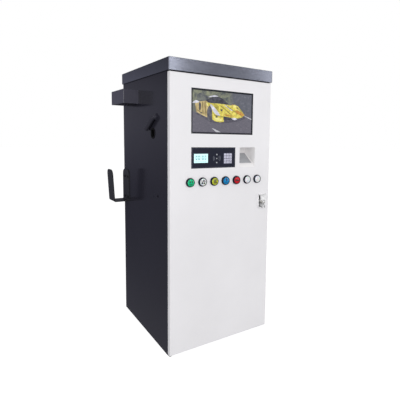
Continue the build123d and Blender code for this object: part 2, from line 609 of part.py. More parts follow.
# ---------------------------------------------------------------- code scanner pocket
POCKET_WALL = 2.0
POCKET_LOW = POCKET_Z - POCKET_H / 2
POCKET_HIGH = POCKET_Z + POCKET_H / 2
POCKET_BACK = DOOR_SKIN + 96
SLOPE_START = (DOOR_SKIN + 12, POCKET_LOW + 17)
SLOPE_END = (POCKET_BACK, POCKET_HIGH - 30)
slope_plane = Plane(origin=(POCKET_X, (SLOPE_START[0] + SLOPE_END[0]) / 2,
                            (SLOPE_START[1] + SLOPE_END[1]) / 2),
                    x_dir=(1, 0, 0),
                    z_dir=(0, SLOPE_START[1] - SLOPE_END[1], SLOPE_END[0] - SLOPE_START[0]))
WINDOW_W, WINDOW_L = 88.0, 88.0
with BuildPart() as scanner_pocket:
    with BuildSketch(Plane.YZ.offset(POCKET_X - POCKET_W / 2 - POCKET_WALL)):
        with BuildLine():
            Polyline((DOOR_SKIN, POCKET_LOW - POCKET_WALL), (SLOPE_START[0] + 1, POCKET_LOW - POCKET_WALL),
                     (SLOPE_START[0] + 1, SLOPE_START[1] - 4), (POCKET_BACK + POCKET_WALL, SLOPE_END[1] - 5),
                     (POCKET_BACK + POCKET_WALL, POCKET_HIGH + POCKET_WALL),
                     (DOOR_SKIN, POCKET_HIGH + POCKET_WALL), close=True)
        make_face()
    extrude(amount=POCKET_W + 2 * POCKET_WALL)
    with BuildSketch(Plane.YZ.offset(POCKET_X - POCKET_W / 2)):
        with BuildLine():
            Polyline((DOOR_SKIN, POCKET_LOW), SLOPE_START, SLOPE_END, (POCKET_BACK, POCKET_HIGH),
                     (DOOR_SKIN, POCKET_HIGH), close=True)
        make_face()
    extrude(amount=POCKET_W, mode=Mode.SUBTRACT)
    with BuildSketch(slope_plane):
        Rectangle(WINDOW_W + 0.4, WINDOW_L + 0.4)
    extrude(amount=12, both=True, mode=Mode.SUBTRACT)
finish(scanner_pocket, "scanner_pocket")

with BuildPart() as scanner_window:
    with BuildSketch(slope_plane.offset(-0.6)):
        Rectangle(WINDOW_W, WINDOW_L)
    extrude(amount=-3)
finish(scanner_window, "scanner_window")

with BuildPart() as scanner_module:
    with BuildSketch(slope_plane.offset(-9)):
        Rectangle(64, 52)
    extrude(amount=-24)
    chamfer(scanner_module.edges().filter_by(Axis.X), length=3)
    with BuildSketch(slope_plane.offset(-9)):
        Circle(16)
    extrude(amount=5)
finish(scanner_module, "scanner_module")

# ---------------------------------------------------------------- push buttons
BEZEL_R = 24.0
CAP_R = 17.8
BEZEL_FRONT = DOOR_FRONT - 11.5
with BuildPart() as one_bezel:
    with BuildSketch(Plane.XY):
        with BuildLine():
            Polyline((CAP_R + CLEAR, BEZEL_FRONT), (BEZEL_R - 3, BEZEL_FRONT))
            Line((BEZEL_R - 3, BEZEL_FRONT), (BEZEL_R, DOOR_FRONT - 3))
            Polyline((BEZEL_R, DOOR_FRONT - 3), (BEZEL_R, DOOR_FRONT), (BUTTON_HOLE_R - 0.2, DOOR_FRONT),
                     (BUTTON_HOLE_R - 0.2, DOOR_FRONT + 18), (CAP_R - 3, DOOR_FRONT + 18),
                     (CAP_R - 3, DOOR_FRONT + 12), (CAP_R + CLEAR, DOOR_FRONT + 12),
                     (CAP_R + CLEAR, BEZEL_FRONT))
        make_face()
    revolve(axis=Axis.Y)
    fillet(one_bezel.edges().filter_by(GeomType.CIRCLE).group_by(Axis.Y)[0], radius=1.0)

with BuildPart() as button_bezels:
    with Locations(*[(x, 0, z) for x, z in BUTTON_SPOTS]):
        add(one_bezel.part)
finish(button_bezels, "button_bezels")

NUT_FRONT = DOOR_SKIN
with BuildPart() as button_locknuts:
    with BuildSketch(facing(NUT_FRONT + 6)):
        with Locations(*BUTTON_SPOTS):
            RegularPolygon(27, 6)
            Circle(BUTTON_HOLE_R, mode=Mode.SUBTRACT)
    extrude(amount=6)
finish(button_locknuts, "button_locknuts")

SWITCH_FRONT = DOOR_FRONT + 18
with BuildPart() as button_switches:
    with BuildSketch(facing(SWITCH_FRONT + 34)):
        with Locations(*BUTTON_SPOTS):
            RectangleRounded(30, 30, 3)
    extrude(amount=34)
    with BuildSketch(facing(SWITCH_FRONT + 42)):
        for dx in (-8, 8):
            with Locations(*[(x + dx, z) for x, z in BUTTON_SPOTS]):
                Rectangle(1, 6)
    extrude(amount=8)
finish(button_switches, "button_switches")

CAP_NAMES = ("green", "white_1", "yellow", "blue", "red", "white_2", "white_3")
CAP_BASE = DOOR_FRONT + 7.5
CAP_RIM = BEZEL_FRONT + 1.5
DOME = 3.7
DOME_R = (CAP_R**2 + DOME**2) / (2 * DOME)
with BuildPart() as one_cap:
    with BuildSketch(Plane.XY):
        with Locations((0, CAP_RIM - DOME + DOME_R)):
            Circle(DOME_R)
        with Locations((CAP_R / 2, (CAP_RIM - DOME + CAP_BASE) / 2)):
            Rectangle(CAP_R, CAP_BASE - CAP_RIM + DOME, mode=Mode.INTERSECT)
    revolve(axis=Axis.Y)

for cap_name, (cap_x, cap_z) in zip(CAP_NAMES, BUTTON_SPOTS):
    with BuildPart() as cap:
        with Locations((cap_x, 0, cap_z)):
            add(one_cap.part)
    finish(cap, f"button_cap_{cap_name}")

# ---------------------------------------------------------------- door lock
LOCK_PLATE = 8.0
LOCK_FACE = DOOR_FRONT - LOCK_PLATE
LOCK_CORNER_R = 3.0
SPINDLE_R = 6.0
CYLINDER_R = 5.5
CYLINDER_L = 15.6
LUG_W, LUG_H, LUG = 30.0, 14.6, 13.0
LUG_FRONT = LOCK_FACE - LUG
BARREL_L = 26.0
with BuildPart() as lock_housing:
    with BuildSketch(facing(DOOR_FRONT)):
        with Locations((LOCK_X, LOCK_Z)):
            RectangleRounded(LOCK_W, LOCK_H, LOCK_CORNER_R)
    extrude(amount=LOCK_PLATE)
    fillet(lock_housing.faces().sort_by(Axis.Y)[0].edges(), radius=1.2)
    with BuildSketch(facing(LOCK_FACE)):
        with Locations((LOCK_X, CYLINDER_Z)):
            RectangleRounded(LUG_W, LUG_H, LOCK_CORNER_R)
    extrude(amount=LUG)
    fillet(lock_housing.faces().sort_by(Axis.Y)[0].edges(), radius=1.5)
    with BuildSketch(facing(DOOR_FRONT)):
        with Locations((LOCK_X, SPINDLE_Z)):
            Circle(LOCK_BARREL_R)
    extrude(amount=-BARREL_L)
    with BuildSketch(facing(DOOR_SKIN + 6)):
        with Locations((LOCK_X, SPINDLE_Z)):
            RegularPolygon(15, 6)
            Circle(LOCK_BARREL_R - 1, mode=Mode.SUBTRACT)
    extrude(amount=6)
    with BuildSketch(facing(LOCK_FACE)):
        with Locations((LOCK_X, SPINDLE_Z)):
            Circle(SPINDLE_R + FIT)
    extrude(amount=-(LOCK_PLATE + BARREL_L), mode=Mode.SUBTRACT)
    with BuildSketch(facing(LUG_FRONT)):
        with Locations((LOCK_X, CYLINDER_Z)):
            Circle(CYLINDER_R + FIT)
    extrude(amount=-CYLINDER_L, mode=Mode.SUBTRACT)
finish(lock_housing, "lock_housing")

with BuildPart() as key_cylinder:
    with BuildSketch(facing(LUG_FRONT + CYLINDER_L - 0.6)):
        with Locations((LOCK_X, CYLINDER_Z)):
            Circle(CYLINDER_R)
    extrude(amount=CYLINDER_L)
    with BuildSketch(facing(LUG_FRONT - 0.6)):
        with Locations((LOCK_X, CYLINDER_Z)):
            Rectangle(1.8, 8)
    extrude(amount=-5, mode=Mode.SUBTRACT)
finish(key_cylinder, "key_cylinder")

# The spindle turns in the housing. Its fork in front of the plate carries the handle on a cross pin,
# and its square tail behind the door carries the cam.
FORK_BACK = LOCK_FACE - CLEAR
FORK_FRONT = LOCK_FACE - 16
CAM_FRONT = BODY_FRONT + SHEET + 0.5
CAM = 3.0
CAM_L, CAM_W = 40.0, 16.0
TAIL = 7.0  # side of the spindle's square tail
HINGE_Y = LOCK_FACE - 9
HANDLE_PIN_R = 2.0
FORK_W, FORK_SLOT = 20.0, 12.6
with BuildPart() as lock_spindle:
    with BuildSketch(facing(CAM_FRONT)):
        with Locations((LOCK_X, SPINDLE_Z)):
            Circle(SPINDLE_R)
    extrude(amount=CAM_FRONT - FORK_BACK)
    with BuildSketch(facing(CAM_FRONT + CAM + 5)):
        with Locations((LOCK_X, SPINDLE_Z)):
            Rectangle(TAIL, TAIL)
    extrude(amount=CAM + 5)
    with BuildSketch(facing(FORK_BACK)):
        with Locations((LOCK_X, SPINDLE_Z)):
            Circle(FORK_W / 2)
    extrude(amount=FORK_BACK - FORK_FRONT)
    with BuildSketch(facing(FORK_BACK - 2.5)):
        with Locations((LOCK_X, SPINDLE_Z)):
            Rectangle(FORK_SLOT, 30)
    extrude(amount=30, mode=Mode.SUBTRACT)
    with BuildSketch(Plane.YZ.offset(LOCK_X)):
        with Locations((HINGE_Y, SPINDLE_Z)):
            Circle(HANDLE_PIN_R)
    extrude(amount=20, both=True, mode=Mode.SUBTRACT)
finish(lock_spindle, "lock_spindle")

with BuildPart() as lock_cam:
    with BuildSketch(facing(CAM_FRONT + CAM)):
        with Locations((LOCK_X, SPINDLE_Z)):
            Circle(12)
        with Locations((LOCK_X, SPINDLE_Z - CAM_L / 2)):
            RectangleRounded(CAM_W, CAM_L, 3)
        with Locations((LOCK_X, SPINDLE_Z)):
            Rectangle(TAIL, TAIL, mode=Mode.SUBTRACT)
    extrude(amount=CAM)
finish(lock_cam, "lock_cam")

with BuildPart() as handle_pin:
    with BuildSketch(Plane.YZ.offset(LOCK_X)):
        with Locations((HINGE_Y, SPINDLE_Z)):
            Circle(HANDLE_PIN_R)
    extrude(amount=FORK_W / 2 - 1.2, both=True)
finish(handle_pin, "handle_pin")

HANDLE_TOP = LOCK_Z + LOCK_H / 2 - 1
GRIP_BACK = LOCK_FACE - 1.2
GRIP_W = 34.0
GRIP_START = SPINDLE_Z + 13
EYE_R = 5.0  # round eye of the handle on its pin
with BuildPart() as lock_handle:
    with BuildSketch(Plane.YZ.offset(LOCK_X)):
        with BuildLine():
            Polyline((HINGE_Y + EYE_R, SPINDLE_Z), (HINGE_Y + EYE_R, GRIP_START), (GRIP_BACK, GRIP_START + 4),
                     (GRIP_BACK, HANDLE_TOP), (GRIP_BACK - 10, HANDLE_TOP), (GRIP_BACK - 16, HANDLE_TOP - 10),
                     (GRIP_BACK - 16, GRIP_START), (HINGE_Y - EYE_R, SPINDLE_Z + 6),
                     (HINGE_Y - EYE_R, SPINDLE_Z), close=True)
        make_face()
    extrude(amount=GRIP_W / 2, both=True)
    with BuildSketch(facing(0)):
        for side in (-1, 1):
            with Locations((LOCK_X + side * (FORK_SLOT / 2 - CLEAR + 10), SPINDLE_Z)):
                Rectangle(20, 2 * (GRIP_START - SPINDLE_Z))
    extrude(amount=500, mode=Mode.SUBTRACT)
    with BuildSketch(Plane.YZ.offset(LOCK_X)):
        with Locations((HINGE_Y, SPINDLE_Z)):
            Circle(EYE_R)
    extrude(amount=FORK_SLOT / 2 - CLEAR, both=True)
    with BuildSketch(Plane.YZ.offset(LOCK_X)):
        with Locations((HINGE_Y, SPINDLE_Z)):
            Circle(HANDLE_PIN_R + FIT)
    extrude(amount=20, both=True, mode=Mode.SUBTRACT)
    fillet(lock_handle.faces().sort_by(Axis.Z)[-1].edges(), radius=2.5)
finish(lock_handle, "lock_handle")
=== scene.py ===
import json
import math

import bmesh
import bpy
from mathutils import Matrix, Vector
from mathutils.bvhtree import BVHTree


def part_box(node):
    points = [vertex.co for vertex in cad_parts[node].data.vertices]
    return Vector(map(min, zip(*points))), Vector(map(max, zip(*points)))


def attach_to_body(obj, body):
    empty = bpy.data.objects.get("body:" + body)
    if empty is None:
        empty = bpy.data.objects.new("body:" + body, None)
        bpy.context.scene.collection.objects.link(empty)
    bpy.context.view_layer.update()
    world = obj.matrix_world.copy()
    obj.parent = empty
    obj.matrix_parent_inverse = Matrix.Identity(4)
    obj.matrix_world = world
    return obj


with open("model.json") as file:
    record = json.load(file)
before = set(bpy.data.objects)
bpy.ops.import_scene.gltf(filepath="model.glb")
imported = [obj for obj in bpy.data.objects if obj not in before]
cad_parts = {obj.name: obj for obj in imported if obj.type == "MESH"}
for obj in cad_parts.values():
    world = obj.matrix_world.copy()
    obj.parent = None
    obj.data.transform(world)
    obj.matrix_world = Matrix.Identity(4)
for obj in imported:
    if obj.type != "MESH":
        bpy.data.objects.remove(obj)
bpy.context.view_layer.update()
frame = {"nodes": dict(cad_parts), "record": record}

# A self-service pay and control station in a plain studio.
# Everything is in metres in the CAD frame: X to the right, the door faces -Y, Z up.
MM = 0.001
NODES = frame["nodes"]

# dust on powder coat: its tone, and the height at which it has faded out
DUST_TONE = (0.46, 0.44, 0.41)
DUST_TOP = 0.35

# the screen: how strongly the panel lights its picture, the dark margin round the picture, and how far
# the first of its layers and each further one stand ahead of the panel
PICTURE_GLOW = 0.25
PICTURE_BORDER = 6 * MM
LAYER_FIRST = 0.20 * MM
LAYER_STEP = 0.12 * MM

INK_THICK = 0.10 * MM  # thickness of printed marks and picture layers
INK_PROUD = 0.06 * MM  # how far the marks on the control strip stand ahead of it
MARK_X, MARK_Z = -42 * MM, 1014.5 * MM  # middle of the contactless card mark
HAIRLINE = 0.7 * MM  # width of the line round the control strip

SIGN_SCALE = 1.3  # the button signs are drawn in millimetres and enlarged by this
SIGN_PROUD, SIGN_SUNK = 0.12 * MM, 0.10 * MM  # their front and back, ahead of and behind the cap's face
LOCK_FACE = -0.363  # the front of the lock's base plate

# the surroundings as the object mirrors them: a pale front, and a rear with a brighter band
WHITE = (1.0, 1.0, 1.0, 1.0)
FRONT_TONE = (0.48, 0.48, 0.49)
REAR_LOW = (0.060, 0.062, 0.098)
REAR_BAND = (0.26, 0.26, 0.33)
REAR_HIGH = (0.045, 0.045, 0.062)
# the rear's tones by the height a direction points to: 0 is 30 degrees down, 1 is 30 degrees up
REAR_STOPS = ((0.36, REAR_LOW), (0.52, REAR_BAND), (0.60, REAR_BAND), (0.69, REAR_HIGH))
REAR_STARTS, REAR_FULL = 0.50, 0.98  # Y of the direction at which the rear begins and is reached
FLOOR_REACH = 30.0  # half of the floor's side
FLOOR_GLOW = 0.93

# the camera: the eye, its turns in degrees, the lens in millimetres for its sensor, and the lens shift
EYE = Vector((-1.0523, -2.0702, 1.1305))
YAW, PITCH, ROLL = 35.8, -5.8, 1.2
SENSOR, LENS = 36.0, 34.119
SHIFT_X, SHIFT_Y = -0.1295, -0.0613


# ---------------------------------------------------------------- shader helpers
class Nodes:
    """Short calls that add nodes to one node tree."""

    def __init__(self, tree):
        self.tree = tree

    def add(self, kind, **settings):
        node = self.tree.nodes.new(kind)
        for key, value in settings.items():
            setattr(node, key, value)
        return node

    def link(self, output, target):
        self.tree.links.new(output, target)

    def ramp(self, value, *stops):
        """Colour ramp: stops are (position, colour)."""
        node = self.add("ShaderNodeValToRGB")
        elements = node.color_ramp.elements
        while len(elements) < len(stops):
            elements.new(0.5)
        for element, (position, colour) in zip(elements, stops):
            element.position = position
            element.color = (*colour, 1.0)
        self.link(value, node.inputs["Fac"])
        return node.outputs["Color"]

    def span(self, value, low, high, start=0.3, end=0.7):
        """Maps start..end of a value onto low..high."""
        node = self.add("ShaderNodeMapRange")
        node.inputs["From Min"].default_value = start
        node.inputs["From Max"].default_value = end
        node.inputs["To Min"].default_value = low
        node.inputs["To Max"].default_value = high
        self.link(value, node.inputs["Value"])
        return node.outputs["Result"]

    def mix(self, factor, first, second):
        """Colour mix; first and second are colours or sockets."""
        node = self.add("ShaderNodeMix", data_type="RGBA")
        self.link(factor, node.inputs["Factor"])
        for value, target in ((first, node.inputs["A"]), (second, node.inputs["B"])):
            if isinstance(value, tuple):
                target.default_value = (*value, 1.0)
            else:
                self.link(value, target)
        return node.outputs["Result"]


class Shader(Nodes):
    """One node material: a Principled shader with procedural detail in the object's own coordinates."""

    def __init__(self, name, **sockets):
        self.material = bpy.data.materials.new(name)
        self.material.use_nodes = True
        super().__init__(self.material.node_tree)
        self.bsdf = self.tree.nodes["Principled BSDF"]
        for socket, value in sockets.items():
            self.bsdf.inputs[socket.replace("_", " ")].default_value = value
        self.coords = self.add("ShaderNodeTexCoord").outputs["Object"]
        self.relief = None

    def scaled(self, scale):
        """Object coordinates stretched by a number or by three numbers."""
        mapping = self.add("ShaderNodeMapping")
        mapping.inputs["Scale"].default_value = scale if isinstance(scale, tuple) else (scale,) * 3
        self.link(self.coords, mapping.inputs["Vector"])
        return mapping.outputs["Vector"]

    def noise(self, scale, detail=3.0, roughness=0.55, distortion=0.0):
        """Noise from 0 to 1, with scale in features per metre."""
        texture = self.add("ShaderNodeTexNoise")
        texture.inputs["Scale"].default_value = 1.0
        texture.inputs["Detail"].default_value = detail
        texture.inputs["Roughness"].default_value = roughness
        texture.inputs["Distortion"].default_value = distortion
        self.link(self.scaled(scale), texture.inputs["Vector"])
        return texture.outputs["Fac"]

    def colour(self, socket):
        self.link(socket, self.bsdf.inputs["Base Color"])

    def glow_colour(self, socket):
        self.link(socket, self.bsdf.inputs["Emission Color"])

    def rough(self, socket):
        self.link(socket, self.bsdf.inputs["Roughness"])

    def mottled(self, value, colour, darkest, lightest, stops=(0.3, 0.7)):
        """A colour that is darkest where the value is low and lightest where it is high."""
        return self.ramp(value, (stops[0], tinted(colour, darkest)), (stops[1], tinted(colour, lightest)))

    def bump(self, value, strength, distance):
        """Adds a bump; several bumps are chained."""
        node = self.add("ShaderNodeBump")
        node.inputs["Strength"].default_value = strength
        node.inputs["Distance"].default_value = distance
        self.link(value, node.inputs["Height"])
        if self.relief is not None:
            self.link(self.relief, node.inputs["Normal"])
        self.relief = node.outputs["Normal"]
        self.link(self.relief, self.bsdf.inputs["Normal"])


def tinted(colour, factor):
    return tuple(min(1.0, channel * factor) for channel in colour)


def powder_coat(name, colour, roughness, specular, peel, dust=0.0, glow=0.0):
    """Powder-coated sheet: orange peel, slight tone drift, scuffs in the gloss, optional dust low down and an
    optional even glow, which is painted light.
    """
    shader = Shader(name, Specular_IOR_Level=specular, Emission_Strength=glow)
    shader.bsdf.inputs["Emission Color"].default_value = (*colour, 1.0)
    shade = shader.mottled(shader.noise(2.2, detail=4.0), colour, 0.955, 1.03)
    if dust:
        position = shader.add("ShaderNodeSeparateXYZ")
        shader.link(shader.coords, position.inputs["Vector"])
        low_down = shader.span(position.outputs["Z"], dust, 0.0, start=0.0, end=DUST_TOP)
        speck = shader.add("ShaderNodeMath", operation="MULTIPLY")
        shader.link(low_down, speck.inputs[0])
        shader.link(shader.noise(55.0, detail=6.0), speck.inputs[1])
        shade = shader.mix(speck.outputs["Value"], shade, DUST_TONE)
    shader.colour(shade)
    scuff = shader.noise((9.0, 9.0, 3.0), detail=7.0, roughness=0.7, distortion=0.6)
    shader.rough(shader.span(scuff, roughness * 0.86, roughness * 1.20))
    shader.bump(shader.noise(650.0, detail=2.0), peel, 0.4 * MM)
    shader.bump(shader.noise(7.0, detail=1.0), 0.12, 1.2 * MM)
    return shader.material


def moulded(name, colour, roughness, grain=900.0, strength=0.12, specular=0.45):
    """Moulded plastic, glass or rubber: fine spark-eroded grain and uneven sheen."""
    shader = Shader(name, Specular_IOR_Level=specular)
    shader.colour(shader.mottled(shader.noise(40.0), colour, 0.92, 1.08))
    shader.rough(shader.span(shader.noise(120.0, detail=5.0), roughness * 0.88, roughness * 1.15))
    shader.bump(shader.noise(grain, detail=2.0), strength, 0.3 * MM)
    return shader.material


def metal(name, colour, roughness, streak, strength=0.06, blotch=6.0, contrast=0.10):
    """Bare or plated metal: drawn lines along the short axes of the streak scale, and cloudy patches."""
    shader = Shader(name, Metallic=1.0)
    cloud = shader.noise(blotch, detail=5.0, roughness=0.65)
    shader.colour(shader.mottled(cloud, colour, 1 - contrast, 1 + contrast))
    lines = shader.noise(streak, detail=4.0, roughness=0.7)
    shader.rough(shader.span(lines, roughness * 0.75, roughness * 1.3))
    shader.bump(lines, strength, 0.3 * MM)
    return shader.material


def spangled(name, colour):
    """Galvanised steel: crystal spangles with their own tone and gloss."""
    shader = Shader(name, Metallic=1.0)
    cells = shader.add("ShaderNodeTexVoronoi", feature="F1")
    cells.inputs["Scale"].default_value = 1.0
    shader.link(shader.scaled(95.0), cells.inputs["Vector"])
    grey = shader.add("ShaderNodeRGBToBW")
    shader.link(cells.outputs["Color"], grey.inputs["Color"])
    shader.colour(shader.mottled(grey.outputs["Val"], colour, 0.82, 1.12, stops=(0.2, 0.8)))
    shader.rough(shader.span(grey.outputs["Val"], 0.30, 0.52, start=0.2, end=0.8))
    shader.bump(shader.noise(300.0), 0.05, 0.3 * MM)
    return shader.material


def lit_plastic(name, colour, glow):
    """Translucent, lit plastic cap: a soft body colour with a faint glow and fine mould lines."""
    shader = Shader(name, Coat_Weight=0.10, Coat_Roughness=0.08, Subsurface_Weight=0.25,
                    Subsurface_Scale=4 * MM, Specular_IOR_Level=0.25, Emission_Strength=glow)
    shader.bsdf.inputs["Emission Color"].default_value = (*colour, 1.0)
    shader.colour(shader.mottled(shader.noise(90.0), colour, 0.90, 1.06))
    shader.rough(shader.span(shader.noise(300.0), 0.128, 0.208))
    shader.bump(shader.noise(700.0), 0.03, 0.2 * MM)
    return shader.material


def printed(name, colour, roughness=0.35, glow=0.0, spread=0.10, scale=220.0):
    """Ink, a printed or displayed area: slight mottling so it never reads as one flat colour."""
    shader = Shader(name, Emission_Strength=glow)
    tone = shader.mottled(shader.noise(scale), colour, 1 - spread, 1 + spread)
    shader.colour(tone)
    if glow:
        shader.glow_colour(tone)
    shader.rough(shader.span(shader.noise(60.0), roughness * 0.85, roughness * 1.15))
    return shader.material


# ---------------------------------------------------------------- the object's materials
def family(make, **looks):
    """Finishes of one kind, each under the name of its material slot."""
    return {name: make(name, **look) for name, look in looks.items()}


FINISHES = {
    **family(
        powder_coat,
        cabinet_paint=dict(colour=(0.0215, 0.0206, 0.0310), roughness=0.15, specular=0.13, peel=0.03,
                           dust=0.02),
        holster_paint=dict(colour=(0.032, 0.030, 0.054), roughness=0.34, specular=0.85, peel=0.08),
        hook_paint=dict(colour=(0.020, 0.020, 0.023), roughness=0.32, specular=0.35, peel=0.08),
        door_paint=dict(colour=(0.835, 0.825, 0.840), roughness=0.38, specular=0.35, peel=0.05, dust=0.04),
    ),
    **family(
        metal,
        roof_metal=dict(colour=(0.195, 0.205, 0.250), roughness=0.20, streak=(16.0, 16.0, 1100.0),
                        strength=0.14),
        zinc_steel=dict(colour=(0.62, 0.61, 0.58), roughness=0.34, streak=300.0, blotch=60.0),
        perforated_aluminium=dict(colour=(0.66, 0.67, 0.68), roughness=0.40, streak=(700.0, 20.0, 20.0)),
        zinc_cast=dict(colour=(0.88, 0.88, 0.885), roughness=0.38, streak=400.0, strength=0.10, blotch=90.0),
        lock_chrome=dict(colour=(0.97, 0.97, 0.97), roughness=0.50, streak=(60.0, 60.0, 900.0),
                         strength=0.03),
    ),
    **family(spangled, galvanised_steel=dict(colour=(0.55, 0.57, 0.60))),
    **family(
        moulded,
        seal_rubber=dict(colour=(0.006, 0.006, 0.007), roughness=0.62, grain=1400.0, strength=0.18,
                         specular=0.12),
        grey_plastic=dict(colour=(0.60, 0.60, 0.585), roughness=0.42),
        terminal_plastic=dict(colour=(0.36, 0.39, 0.41), roughness=0.45),
        black_plastic=dict(colour=(0.004, 0.004, 0.0045), roughness=0.42, specular=0.05),
        dark_plastic=dict(colour=(0.030, 0.029, 0.042), roughness=0.38, specular=0.16),
        bezel_plastic=dict(colour=(0.006, 0.007, 0.014), roughness=0.40, grain=1300.0, specular=0.25),
        bezel_gloss=dict(colour=(0.006, 0.010, 0.021), roughness=0.22, strength=0.03, specular=0.20),
        fascia_gloss=dict(colour=(0.008, 0.010, 0.024), roughness=0.20, strength=0.03, specular=0.32),
        keypad_plastic=dict(colour=(0.10, 0.10, 0.16), roughness=0.45),
        key_plastic=dict(colour=(0.62, 0.62, 0.74), roughness=0.38),
        scanner_glass=dict(colour=(0.40, 0.41, 0.43), roughness=0.20, grain=420.0, strength=0.10,
                           specular=0.5),
        screen_glass=dict(colour=(0.05, 0.05, 0.055), roughness=0.22, strength=0.02),
    ),
    **family(
        printed,
        lcd_glass=dict(colour=(0.60, 0.92, 0.92), roughness=0.2, glow=0.38, spread=0.03, scale=60.0),
    ),
    **family(
        lit_plastic,
        cap_green=dict(colour=(0.001, 0.46, 0.195), glow=0.24),
        cap_white=dict(colour=(0.74, 0.755, 0.76), glow=0.05),
        cap_yellow=dict(colour=(0.47, 0.49, 0.025), glow=0.09),
        cap_blue=dict(colour=(0.001, 0.205, 0.48), glow=0.14),
        cap_red=dict(colour=(0.50, 0.004, 0.012), glow=0.08),
    ),
}

# the pocket is painted like the door, with painted light: an even glow in the paint that lifts the pocket's
# shade
POCKET_PAINTED_LIGHT = powder_coat("pocket_painted_light", (0.825, 0.81, 0.81), 0.40, 0.35, peel=0.05, glow=0.07)
NODE_FINISHES = {"scanner_pocket": POCKET_PAINTED_LIGHT}


def dress_cad_nodes():
    """Every CAD node keeps its shape and gets the procedural finish of its material slot; the scanner pocket
    instead gets its own paint with painted light.
    """
    for entry in frame["record"]["subparts"]:
        node = NODES[entry["node"]]
        node.data.materials.clear()
        node.data.materials.append(NODE_FINISHES.get(entry["node"], FINISHES[entry["material_slot"]]))


# ---------------------------------------------------------------- mesh helpers
def centre(node):
    """The middle of a CAD node's box, as x and z."""
    low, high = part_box(node)
    return (low.x + high.x) / 2, (low.z + high.z) / 2


def attach(data, name, material, body):
    """Makes a mesh a named piece that rides on a body."""
    data.materials.append(material)
    piece = bpy.data.objects.new(name, data)
    bpy.context.scene.collection.objects.link(piece)
    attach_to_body(piece, body)


def attach_bmesh(mesh, name, material, body):
    data = bpy.data.meshes.new(name)
    mesh.to_mesh(data)
    mesh.free()
    attach(data, name, material, body)


def add_prisms(mesh, outlines, front, back):
    """For each outline of (x, z) points, a closed prism between two y planes."""
    for outline in outlines:
        near = [mesh.verts.new((x, front, z)) for x, z in outline]
        far = [mesh.verts.new((x, back, z)) for x, z in outline]
        mesh.faces.new(near)
        mesh.faces.new(far[::-1])
        for i in range(len(outline)):
            j = (i + 1) % len(outline)
            mesh.faces.new((near[j], near[i], far[i], far[j]))


def plate(name, outlines, front, material, body, thick):
    """A thin closed plate that faces -Y: outlines are lists of (x, z), front is its front face's y."""
    mesh = bmesh.new()
    add_prisms(mesh, outlines, front, front + thick)
    bmesh.ops.recalc_face_normals(mesh, faces=mesh.faces)
    attach_bmesh(mesh, name, material, body)


def rectangle(x, z, width, height):
    return [(x - width / 2, z - height / 2), (x + width / 2, z - height / 2),
            (x + width / 2, z + height / 2), (x - width / 2, z + height / 2)]


def disc(x, z, radius, count=40):
    return [(x + radius * math.cos(a), z + radius * math.sin(a))
            for a in (2 * math.pi * i / count for i in range(count))]


def arc_band(x, z, radius, width, start, end, count=24):
    """A curved stroke from one angle to another, in degrees."""
    angles = [math.radians(start + (end - start) * i / count) for i in range(count + 1)]
    outer, inner = ([(x + r * math.cos(a), z + r * math.sin(a)) for a in angles]
                    for r in (radius + width / 2, radius - width / 2))
    return outer + inner[::-1]


def rounded(points, steps=6):
    """A closed smooth outline through the points (Catmull-Rom)."""
    count = len(points)
    outline = []
    for i in range(count):
        p0, p1, p2, p3 = (Vector(points[(i + k) % count]) for k in (-1, 0, 1, 2))
        for step in range(steps):
            t = step / steps
            point = 0.5 * (2 * p1 + (p2 - p0) * t + (2 * p0 - 5 * p1 + 4 * p2 - p3) * t * t
                           + (3 * p1 - p0 - 3 * p2 + p3) * t * t * t)
            outline.append((point.x, point.y))
    return outline


